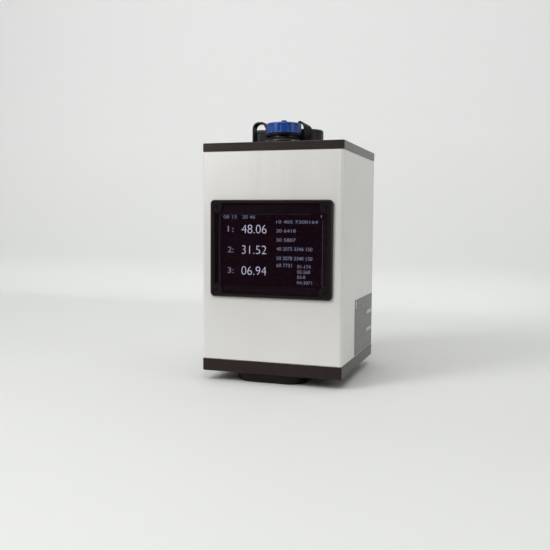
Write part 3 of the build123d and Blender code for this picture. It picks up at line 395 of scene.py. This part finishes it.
def softened(node, width, material, name, body, angle=35.0, segs=2):
    """The node's own shape with its hard edges rounded off, in the node's place."""
    bm = bmesh.new()
    bm.from_mesh(NODES[node].data)
    bmesh.ops.remove_doubles(bm, verts=bm.verts, dist=2e-6)
    bmesh.ops.dissolve_limit(bm, angle_limit=math.radians(0.8), verts=bm.verts, edges=bm.edges)
    hard = [e for e in bm.edges if len(e.link_faces) == 2 and e.calc_face_angle() > math.radians(angle)]
    bmesh.ops.bevel(bm, geom=hard, offset=width * MM, segments=segs, profile=0.5, affect="EDGES", clamp_overlap=True)
    bmesh.ops.recalc_face_normals(bm, faces=bm.faces)
    me = bpy.data.meshes.new(name)
    bm.to_mesh(me)
    bm.free()
    me.materials.append(material)
    for p in me.polygons:
        p.use_smooth = True
    o = bpy.data.objects.new(name, me)
    scene.collection.objects.link(o)
    mod = o.modifiers.new("flat_faces", "WEIGHTED_NORMAL")
    mod.keep_sharp = True
    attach(o, body)
    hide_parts(node)
    return o


def smooth_min(a, b, k):
    h = max(k - abs(a - b), 0.0) / k
    return min(a, b) - h * h * k * 0.25


def smoothstep(x):
    x = max(0.0, min(1.0, x))
    return x * x * (3 - 2 * x)


# ---------------------------------------------------------------- socket and dust cap
SOCK_X, SOCK_Y = -0.9, -21.0
GRIP_START = math.radians(3.35)


def grip_radius(a, r, z):
    """Twelve rounded flutes down the cap's side."""
    if r < 11.85 or z < 173.2:
        return r
    step = math.radians(30)
    da = (a - GRIP_START + step / 2) % step - step / 2
    s = 13.25 * math.sin(da)
    if abs(s) >= 1.5:
        g = 99.0
    else:
        g = 13.25 * math.cos(da) - math.sqrt(2.25 - s * s)
    e = smoothstep((z - 173.5) / 0.5) * smoothstep((179.2 - z) / 0.7)
    cut = smooth_min(r, g, 0.34) if g < 50 else smooth_min(r, r + (abs(s) - 1.5) + 0.35, 0.34)
    return r + (cut - r) * e


cap_outline = rounded(
    [(10.65, 171.1), (11.8, 171.1), (11.8, 171.5), (11.2, 171.5), (11.2, 173.0), (12.2, 173.0), (12.2, 180.3), (2.25, 180.3),
     (2.25, 180.05), (1.05, 180.05), (1.05, 178.8), (10.65, 178.8)],
    [0.12, 0.15, 0.12, 0.1, 0.1, 0.3, 0.95, 0.1, 0.05, 0.0, 0.0, 0.4], n=6)
dense = []
for i, p in enumerate(cap_outline):
    q = cap_outline[(i + 1) % len(cap_outline)]
    dense.append(p)
    if abs(p[0] - 12.2) < 1e-4 and abs(q[0] - 12.2) < 1e-4 and abs(q[1] - p[1]) > 2:
        steps = 24
        dense += [(12.2, p[1] + (q[1] - p[1]) * k / steps) for k in range(1, steps)]
cap_shell = lathe("dust_cap_shell", dense, BLUE, "cap", cx=SOCK_X, cy=SOCK_Y, segs=360, radial=grip_radius)
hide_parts("dust_cap")
# the lip below the grips, and the groove that the tether's ring runs in, are coloured near black: painted shade under
# the blue cap
cap_shell.data.materials.append(CAP_PAINTED_SHADE)
for poly in cap_shell.data.polygons:
    if sum(cap_shell.data.vertices[i].co.z for i in poly.vertices) / len(poly.vertices) < 0.17290:
        poly.material_index = 1

cap_knob = lathe("cap_rivet_head", rounded(
    [(0, 178.8), (1.0, 178.8), (1.0, 180.1), (2.1, 180.1), (2.1, 182.7), (0, 182.7)],
    [0, 0.05, 0.05, 0.1, 1.0, 0], n=6), CAP_KNOB, "cap", cx=SOCK_X, cy=SOCK_Y, segs=64)
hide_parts("cap_rivet")

foot = []
FLARE = (12.95, 170.9625)                # centre of the arc through (13.0, 168.3), (11.15, 169.0), (10.3, 170.7)
for k in range(15):
    w = k / 14
    a0 = math.atan2(168.3 - FLARE[1], 13.0 - FLARE[0])
    a1 = math.atan2(170.7 - FLARE[1], 10.3 - FLARE[0])
    a1 = a1 - 2 * math.pi if a1 > a0 else a1
    r0 = math.hypot(168.3 - FLARE[1], 13.0 - FLARE[0])
    r1 = math.hypot(170.7 - FLARE[1], 10.3 - FLARE[0])
    a, r = a0 + (a1 - a0) * w, r0 + (r1 - r0) * w
    foot.append((FLARE[0] + r * math.cos(a), FLARE[1] + r * math.sin(a)))
ridges = []
z = 172.2
while z < 176.8:
    ridges += [(10.02, z), (10.26, z + 0.32), (10.26, z + 0.52), (10.02, z + 0.84)]
    z += 1.1
threads = []
z = 151.0
while z < 164.0:
    threads += [(9.2, z), (8.75, z + 0.5)]
    z += 1.0
threads.append((9.2, z))
socket_outline = ([(8.3, 150.4), (8.6, 150.0), (9.0, 150.0)] + threads + [(9.2, 165.0), (9.2, 166.0), (12.85, 166.0), (13.0, 166.15), (13.0, 168.0)]
                  + foot + [(10.3, 171.6), (10.2, 171.7)] + ridges
                  + [(10.2, 177.2), (10.3, 177.3), (10.3, 177.7), (10.18, 177.98), (9.9, 178.1), (8.55, 178.1), (8.36, 178.0), (8.3, 177.8)])
socket_shell = lathe("signal_socket_shell", socket_outline, GLOSS_MOULDED, "housing", cx=SOCK_X, cy=SOCK_Y, segs=240)
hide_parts("signal_socket")


def polar_box(name, material, body, r0, r1, a0, a1, z0, z1, cx=SOCK_X, cy=SOCK_Y, n=8):
    """A curved block between two radii, angles (degrees) and heights, in millimetres."""
    verts, faces = [], []
    for i in range(n + 1):
        a = math.radians(a0 + (a1 - a0) * i / n)
        for r, zz in ((r0, z0), (r1, z0), (r1, z1), (r0, z1)):
            verts.append(((cx + r * math.cos(a)) * MM, (cy + r * math.sin(a)) * MM, zz * MM))
    for i in range(n):
        for j in range(4):
            k = (j + 1) % 4
            faces.append((i * 4 + j, i * 4 + k, (i + 1) * 4 + k, (i + 1) * 4 + j))
    faces += [(0, 1, 2, 3), (n * 4 + 3, n * 4 + 2, n * 4 + 1, n * 4)]
    return mesh_object(name, verts, faces, material, smooth=False, body=body)


polar_box("socket_key_rib", GLOSS_MOULDED, "housing", 7.35, 8.45, 84.0, 96.0, 172.0, 177.6)
polar_box("socket_key_rib_small", GLOSS_MOULDED, "housing", 7.7, 8.45, 216.0, 224.0, 172.0, 177.6)

softened("tether_ring", 0.25, RUBBER, "tether_ring_band", "tether_collar")
softened("tether_base", 0.3, RUBBER, "tether_washer", "housing")


# ---------------------------------------------------------------- straps
def ribbon(name, centres, wides, widths, thick, material, edge=0.32):
    """A flat moulded strap with rounded edges: centres in millimetres, wides the unit direction of its width."""
    n = len(centres)
    verts, faces = [], []
    ring = None
    for i in range(n):
        before, after = centres[max(i - 1, 0)], centres[min(i + 1, n - 1)]
        along = (after - before).normalized()
        wide = (wides[i] - along * wides[i].dot(along)).normalized()
        out = along.cross(wide).normalized()
        w, t, r = widths[i] / 2, thick / 2, edge
        sec = []
        for sx, sz, a0 in ((1, -1, -90), (1, 1, 0), (-1, 1, 90), (-1, -1, 180)):
            for k in range(4):
                a = math.radians(a0 + 30 * k)
                sec.append((sx * (w - r) + r * math.cos(a), sz * (t - r) + r * math.sin(a)))
        sec.insert(8, (0.0, t))
        sec.append((0.0, -t))
        ring = len(sec)
        for u, v in sec:
            p = centres[i] + wide * u + out * v
            verts.append((p.x * MM, p.y * MM, p.z * MM))
    for i in range(n - 1):
        for j in range(ring):
            k = (j + 1) % ring
            faces.append((i * ring + j, i * ring + k, (i + 1) * ring + k, (i + 1) * ring + j))
    faces.append(tuple(range(ring)))
    faces.append(tuple((n - 1) * ring + j for j in reversed(range(ring))))
    return mesh_object(name, verts, faces, material)


def filleted_path(points, radius, step=0.35):
    """Samples a polyline in the X-Z plane with its inner corners rounded."""
    out = [Vector(points[0])]
    for i in range(1, len(points) - 1):
        a, p, b = Vector(points[i - 1]), Vector(points[i]), Vector(points[i + 1])
        da, db = (a - p), (b - p)
        la, lb = da.length, db.length
        da.normalize()
        db.normalize()
        ang = da.angle(db)
        want = radius[i - 1] if isinstance(radius, (list, tuple)) else radius
        t = min(want / math.tan(ang / 2), 0.52 * la, 0.52 * lb) if i == 1 else min(want / math.tan(ang / 2), 0.46 * la, 0.46 * lb)
        r = t * math.tan(ang / 2)
        c = p + (da + db).normalized() * (r / math.sin(ang / 2))
        v0, v1 = p + da * t - c, p + db * t - c
        sweep = v0.angle(v1)
        m = max(4, int(r * sweep / step))
        for k in range(m + 1):
            w = k / m
            out.append(c + (v0 * math.sin((1 - w) * sweep) + v1 * math.sin(w * sweep)) / math.sin(sweep))
    out.append(Vector(points[-1]))
    dense_path = [out[0]]
    for a, b in zip(out, out[1:]):
        m = max(1, int((b - a).length / 0.6))
        dense_path += [a + (b - a) * k / m for k in range(1, m + 1)]
    return dense_path


left = filleted_path([(-24.2, 166.0), (-24.2, 181.6), (-16.5, 181.6), (-14.3, 177.6), (-14.3, 172.85)], [4.2, 2.6, 2.4])
left_centres = [Vector((p.x, -17.5, p.y)) for p in left]
# the left strap takes the lighter rubber copy: painted light where it faces the lamps
strap_left = ribbon("tether_strap_left_band", left_centres, [Vector((0, 1, 0))] * len(left), [6.5] * len(left), 1.4, RUBBER_PAINTED_LIT)
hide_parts("tether_strap_left")
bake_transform(strap_left)

STATIONS = [
    (14.9, 0.0, 166.0, 3.0, 0.0, 0.0),
    (15.0, 0.0, 169.0, 3.9, 0.0, 0.0),
    (15.8, 0.2, 172.0, 5.7, 1.0, 0.0),
    (16.05, 0.8, 175.0, 6.3, 5.0, 0.0),
    (15.5, 2.2, 178.2, 5.7, 18.0, -8.0),
    (13.9, 5.0, 180.7, 5.3, 38.0, -14.0),
    (11.5, 8.3, 182.2, 4.7, 66.0, -10.0),
    (9.4, 11.0, 180.9, 4.4, 98.0, -4.0),
    (8.3, 11.7, 178.0, 4.4, 124.0, 0.0),
    (7.9, 11.5, 175.0, 4.4, 142.0, 0.0),
    (7.9, 11.4, 172.85, 4.4, 145.5, 0.0)]
TURN = math.radians(18.35)
to_right = Vector((math.cos(TURN), math.sin(TURN), 0))
to_back = Vector((-math.sin(TURN), math.cos(TURN), 0))


def catmull(values, t):
    i = min(int(t), len(values) - 2)
    u = t - i
    p0 = values[max(i - 1, 0)]
    p1, p2 = values[i], values[i + 1]
    p3 = values[min(i + 2, len(values) - 1)]
    return [0.5 * (2 * b + (c - a) * u + (2 * a - 5 * b + 4 * c - d) * u * u + (3 * b - a - 3 * c + d) * u ** 3)
            for a, b, c, d in zip(p0, p1, p2, p3)]


centres, wides, widths = [], [], []
for k in range(0, 101):
    r, b, z, w, a, tilt = catmull(STATIONS, k / 10)
    centres.append(Vector((0, SOCK_Y, 0)) + to_right * r + to_back * b + Vector((0, 0, z)))
    d = math.radians(a)
    wides.append(to_right * math.cos(d) + to_back * math.sin(d) + Vector((0, 0, tilt / 57.3)))
    widths.append(w)
strap_right = ribbon("tether_strap_right_band", centres, wides, widths, 1.2, RUBBER)
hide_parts("tether_strap_right")
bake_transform(strap_right)


# ---------------------------------------------------------------- port block
softened("port_housing", 0.35, MOULDED, "port_block_body", "housing")


def bar_box(verts, faces, lo, hi):
    """Adds a box between two corners (millimetres) to the lists."""
    k = len(verts)
    for zz in (lo[2], hi[2]):
        verts += [(lo[0] * MM, lo[1] * MM, zz * MM), (hi[0] * MM, lo[1] * MM, zz * MM), (hi[0] * MM, hi[1] * MM, zz * MM),
                  (lo[0] * MM, hi[1] * MM, zz * MM)]
    faces += [(k + 3, k + 2, k + 1, k), (k + 4, k + 5, k + 6, k + 7), (k, k + 1, k + 5, k + 4), (k + 1, k + 2, k + 6, k + 5),
              (k + 2, k + 3, k + 7, k + 6), (k + 3, k, k + 4, k + 7)]


PORT_X, PORT_Y = -5.9, 8.6
verts, faces = [], []
for i in range(8):
    x = PORT_X + (i - 3.5) * 1.02
    k = len(verts)
    path = [(4.0, 163.2), (5.2, 164.6), (6.4, 171.6), (4.9, 173.2), (4.0, 172.6)]
    for y, z in path:
        for dx, dn in ((-0.17, 0.0), (0.17, 0.0), (0.17, 0.22), (-0.17, 0.22)):
            verts.append(((x + dx) * MM, (y + dn) * MM, z * MM))
    for s in range(len(path) - 1):
        for j in range(4):
            j2 = (j + 1) % 4
            faces.append((k + s * 4 + j, k + s * 4 + j2, k + (s + 1) * 4 + j2, k + (s + 1) * 4 + j))
    faces.append((k, k + 1, k + 2, k + 3))
    e = k + (len(path) - 1) * 4
    faces.append((e + 3, e + 2, e + 1, e))
mesh_object("jack_spring_contacts", verts, faces, BRASS, smooth=False, body="housing")

# ---------------------------------------------------------------- side label
verts, faces = [], []
bar_box(verts, faces, (49.98, -12.5, 16.4), (50.24, 48.0, 56.2))
plate = mesh_object("rating_label_film", verts, faces, LABEL_GREY, smooth=False)
bm = bmesh.new()
bm.from_mesh(plate.data)
upright = [e for e in bm.edges if abs(e.verts[0].co.x - e.verts[1].co.x) > 1e-5]
bmesh.ops.bevel(bm, geom=upright, offset=0.8 * MM, segments=5, profile=0.5, affect="EDGES")
bm.to_mesh(plate.data)
bm.free()
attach(plate, "housing")
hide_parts("rating_label")


def label_marks(name, rects, material):
    v, f = [], []
    for y0, y1, z0, z1 in rects:
        bar_box(v, f, (50.2, y0, z0), (50.29, y1, z1))
    return mesh_object(name, v, f, material, smooth=False, body="housing")


label_marks("label_block_light", [(-10.6, -7.6, 50.0, 54.9), (29.2, 45.6, 41.7, 44.3), (28.6, 45.6, 28.3, 30.9)], LABEL_MARK)
rows = []
for i, (z, spans) in enumerate((
        (52.6, ((-4.0, 9.0), (11.5, 24.0), (27.0, 44.0))), (48.9, ((-4.0, 6.0), (9.0, 22.0), (25.0, 33.0))),
        (45.6, ((-9.0, -3.0), (1.0, 13.0))), (42.2, ((-9.0, -2.0), (2.0, 17.0))), (38.6, ((-9.0, -4.0), (1.0, 11.0), (14.0, 21.0))),
        (35.0, ((-9.0, -1.0), (3.0, 15.0))), (31.5, ((-9.0, -4.0), (1.0, 9.0))), (24.2, ((-9.0, 6.0), (9.0, 24.0), (27.0, 45.0))),
        (21.2, ((-9.0, 2.0), (5.0, 20.0), (23.0, 41.0))))):
    for y0, y1 in spans:
        rows.append((y0, y1, z - 0.55, z + 0.55))
label_marks("label_lines_faint", rows, LABEL_FAINT)


# ---------------------------------------------------------------- screen
def text_object(name, body_text, x0, x1, z0, z1, y, material, thin=0.0):
    """Plain numerals drawn on the panel, fitted into the box x0..x1, z0..z1 in millimetres."""
    cu = bpy.data.curves.new(name, "FONT")
    cu.body = body_text
    cu.size = 0.01
    cu.extrude = 0.00001
    cu.offset = -thin
    tmp = bpy.data.objects.new(name + "_curve", cu)
    scene.collection.objects.link(tmp)
    bpy.context.view_layer.update()
    me = bpy.data.meshes.new_from_object(tmp.evaluated_get(bpy.context.evaluated_depsgraph_get()))
    bpy.data.objects.remove(tmp)
    xs = [v.co.x for v in me.vertices]
    ys = [v.co.y for v in me.vertices]
    sx = (x1 - x0) * MM / (max(xs) - min(xs))
    sy = (z1 - z0) * MM / (max(ys) - min(ys))
    bx, by = min(xs), min(ys)
    for v in me.vertices:
        x = x0 * MM + (v.co.x - bx) * sx
        z = z0 * MM + (v.co.y - by) * sy
        yy = y * MM - (v.co.z + 0.00001)
        v.co = (x, yy, z)
    me.name = name
    me.materials.clear()
    me.materials.append(material)
    o = bpy.data.objects.new(name, me)
    scene.collection.objects.link(o)
    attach(o, "housing")
    return o


def glass_border():
    """The black border printed on the back of the cover glass, round the lit area."""
    verts, faces = [], []
    outer, inner = (-39.7, 62.25, 39.7, 123.45), (-36.95, 67.35, 36.95, 116.85)
    y0, y1 = -52.32, -52.26
    for x0, z0, x1, z1 in ((outer[0], outer[1], outer[2], inner[1]), (outer[0], inner[3], outer[2], outer[3]),
                           (outer[0], inner[1], inner[0], inner[3]), (inner[2], inner[1], outer[2], inner[3])):
        bar_box(verts, faces, (x0, y0, z0), (x1, y1, z1))
    mesh_object("glass_border_print", verts, faces, GLASS_PRINT, smooth=False, body="housing")


glass_border()
SCREEN_Y = -51.42
for i, (num, zc) in enumerate((("48.06", 106.3), ("31.52", 92.2), ("06.94", 78.0))):
    text_object("screen_value_%d" % (i + 1), num, -20.7, -2.9, zc - 2.85, zc + 2.85, SCREEN_Y, GLOW_DIGIT, 0.00022)
    text_object("screen_row_%d" % (i + 1), "%d:" % (i + 1), -31.0, -26.6, zc - 2.1, zc + 1.9, SCREEN_Y, GLOW_TEXT)


def glow_strips(name, strips, material, y=SCREEN_Y):
    """Thin raised bars on the panel, (x0, x1, z0, z1) in millimetres."""
    v, f = [], []
    for x0, x1, z0, z1 in strips:
        bar_box(v, f, (x0, y - 0.02, z0), (x1, y, z1))
    return mesh_object(name, v, f, material, smooth=False, body="housing")


small = [
    ("screen_head_1", "08 15", -34.1, -24.4, 113.3, 115.6), ("screen_head_2", "20 46", -20.3, -11.0, 113.3, 115.6),
    ("screen_note_1", "10 405 7300164", 4.1, 33.0, 110.2, 112.3), ("screen_note_2", "20 6418", 4.1, 17.7, 104.2, 106.4),
    ("screen_note_3", "30 5807", 4.1, 17.7, 98.0, 100.3), ("screen_note_4", "40 2075 3346 150", 4.4, 29.4, 92.0, 94.4),
    ("screen_note_5", "50 2078 3340 150", 4.4, 29.4, 85.7, 88.1), ("screen_note_6", "60 7731", 4.4, 15.2, 80.9, 83.3),
    ("screen_item_1", "01-174", 19.0, 28.3, 80.4, 82.8), ("screen_item_2", "02-560", 19.0, 28.0, 76.9, 79.2),
    ("screen_item_3", "03-8", 19.0, 24.6, 73.5, 75.6), ("screen_item_4", "04-3071", 18.8, 29.3, 69.8, 72.0)]
for n, t, x0, x1, z0, z1 in small:
    text_object(n, t, x0, x1, z0, z1, SCREEN_Y, GLOW_DIM if n[7:11] == "head" else GLOW_TEXT)
glow_strips("screen_edge_lines", [(-36.9, -36.65, 67.9, 116.3), (36.1, 36.4, 68.2, 112.6), (-36.9, 27.0, 116.25, 116.4)], GLOW_LINE)
glow_strips("screen_corner_mark", [(34.9, 35.6, 114.3, 115.9)], GLOW_DIM)


# ---------------------------------------------------------------- stage
def stage_mesh():
    """Floor and back wall in one sheet, with a rounded corner between them; its colour is painted darker at the front
    and lighter towards the back and up the wall, evening out the lamps' falloff.
    """
    prof = [(-0.34, 0.0), (-0.2, 0.0), (0.0, 0.0), (0.2, 0.0), (0.34, 0.0)]
    r, yc = 0.06, 0.36
    for i in range(1, 9):
        a = math.radians(90 * i / 8)
        prof.append((yc + r * math.sin(a), r - r * math.cos(a)))
    prof += [(yc + r, 0.5), (yc + r, 2.2)]
    v, f = [], []
    for x in (-2.5, 2.5):
        for y, z in prof:
            v.append((x, y, z - 0.00002))
    n = len(prof)
    for i in range(n - 1):
        f.append((i, i + n, i + n + 1, i + 1))
    me = bpy.data.meshes.new("floor_sheet")
    me.from_pydata(v, [], f)
    me.update()
    for p in me.polygons:
        p.use_smooth = True
    o = bpy.data.objects.new("floor_sheet", me)
    scene.collection.objects.link(o)
    m, nt, b = new_material("pale_floor")
    vec = coords(nt)
    slow = noise(nt, vec, 1.4, 2.0)
    parts = nt.nodes.new("ShaderNodeSeparateXYZ")
    nt.links.new(vec, parts.inputs[0])
    # painted light: the sheet's colour rises from the front towards the back and up the wall, evening out the lamps'
    # falloff
    below = ramp(nt, slow, [(0.3, (0.548, 0.553, 0.543)), (0.7, (0.560, 0.565, 0.555))])
    for axis, lo, hi, a0, a1 in (("Y", (0.655, 0.662, 0.650), (0.668, 0.675, 0.663), -0.1, 0.40),
                                 ("Z", (0.705, 0.710, 0.702), (0.718, 0.723, 0.715), 0.02, 0.22)):
        tone = nt.nodes.new("ShaderNodeMix")
        tone.data_type = "RGBA"
        nt.links.new(spread(nt, parts.outputs[axis], 0.0, 1.0, a0, a1), tone.inputs["Factor"])
        nt.links.new(below, tone.inputs["A"])
        nt.links.new(ramp(nt, slow, [(0.3, lo), (0.7, hi)]), tone.inputs["B"])
        below = tone.outputs["Result"]
    nt.links.new(below, b.inputs["Base Color"])
    b.inputs["Roughness"].default_value = 0.6
    b.inputs["Specular IOR Level"].default_value = 0.3
    me.materials.append(m)


stage_mesh()


# ---------------------------------------------------------------- light
def studio_world(pale, dark, strength):
    """Pale surroundings with a darker patch at the front right, low down."""
    w = bpy.data.worlds.new("studio")
    scene.world = w
    w.use_nodes = True
    nt = w.node_tree
    bg = nt.nodes["Background"]
    tc = nt.nodes.new("ShaderNodeTexCoord")
    dot = nt.nodes.new("ShaderNodeVectorMath")
    dot.operation = "DOT_PRODUCT"
    dot.inputs[1].default_value = Vector((0.216, -0.97, -0.10)).normalized()
    nt.links.new(tc.outputs["Generated"], dot.inputs[0])
    mr = nt.nodes.new("ShaderNodeMapRange")
    mr.interpolation_type = "SMOOTHSTEP"
    mr.inputs["From Min"].default_value = math.cos(math.radians(60))
    mr.inputs["From Max"].default_value = math.cos(math.radians(40))
    nt.links.new(dot.outputs["Value"], mr.inputs["Value"])
    parts = nt.nodes.new("ShaderNodeSeparateXYZ")
    nt.links.new(tc.outputs["Generated"], parts.inputs[0])
    low = nt.nodes.new("ShaderNodeMapRange")
    low.interpolation_type = "SMOOTHSTEP"
    low.inputs["From Min"].default_value = 0.06
    low.inputs["From Max"].default_value = -0.22
    nt.links.new(parts.outputs["Z"], low.inputs["Value"])
    most = nt.nodes.new("ShaderNodeMath")
    most.operation = "MAXIMUM"
    nt.links.new(mr.outputs["Result"], most.inputs[0])
    nt.links.new(low.outputs["Result"], most.inputs[1])
    r = nt.nodes.new("ShaderNodeValToRGB")
    r.color_ramp.elements[0].color = (*pale, 1)
    r.color_ramp.elements[1].color = (*dark, 1)
    nt.links.new(most.outputs["Value"], r.inputs["Fac"])
    nt.links.new(r.outputs["Color"], bg.inputs["Color"])
    bg.inputs["Strength"].default_value = strength
    plain = nt.nodes.new("ShaderNodeBackground")
    plain.inputs["Color"].default_value = (0.73, 0.74, 0.73, 1)
    lp = nt.nodes.new("ShaderNodeLightPath")
    mix = nt.nodes.new("ShaderNodeMixShader")
    out = nt.nodes["World Output"]
    nt.links.new(lp.outputs["Is Camera Ray"], mix.inputs[0])
    nt.links.new(bg.outputs["Background"], mix.inputs[1])
    nt.links.new(plain.outputs["Background"], mix.inputs[2])
    nt.links.new(mix.outputs["Shader"], out.inputs["Surface"])


studio_world((0.93, 0.95, 0.95), (0.030, 0.026, 0.028), 0.51)


def area_light(name, loc, target, size, size_y, power, color=(1, 1, 1)):
    ld = bpy.data.lights.new(name, "AREA")
    ld.shape = "RECTANGLE"
    ld.size = size
    ld.size_y = size_y
    ld.energy = power
    ld.color = color
    o = bpy.data.objects.new(name, ld)
    scene.collection.objects.link(o)
    o.location = loc
    o.rotation_mode = "QUATERNION"
    o.rotation_quaternion = (Vector(target) - Vector(loc)).to_track_quat("-Z", "Y")
    o.visible_camera = False
    return o


area_light("left_softbox", (-0.68, -0.84, 0.68), (0, 0, 0.12), 0.40, 0.60, 8.3)
area_light("right_softbox", (1.10, -0.26, 0.40), (0, 0, 0.12), 0.45, 0.8, 2.1)
area_light("front_fill", (-0.05, -0.72, 0.80), (0, 0, 0.13), 0.9, 0.4, 4.5)
area_light("top_light", (0.1, -0.1, 1.5), (0, 0, 0.1), 1.6, 1.2, 8.2)
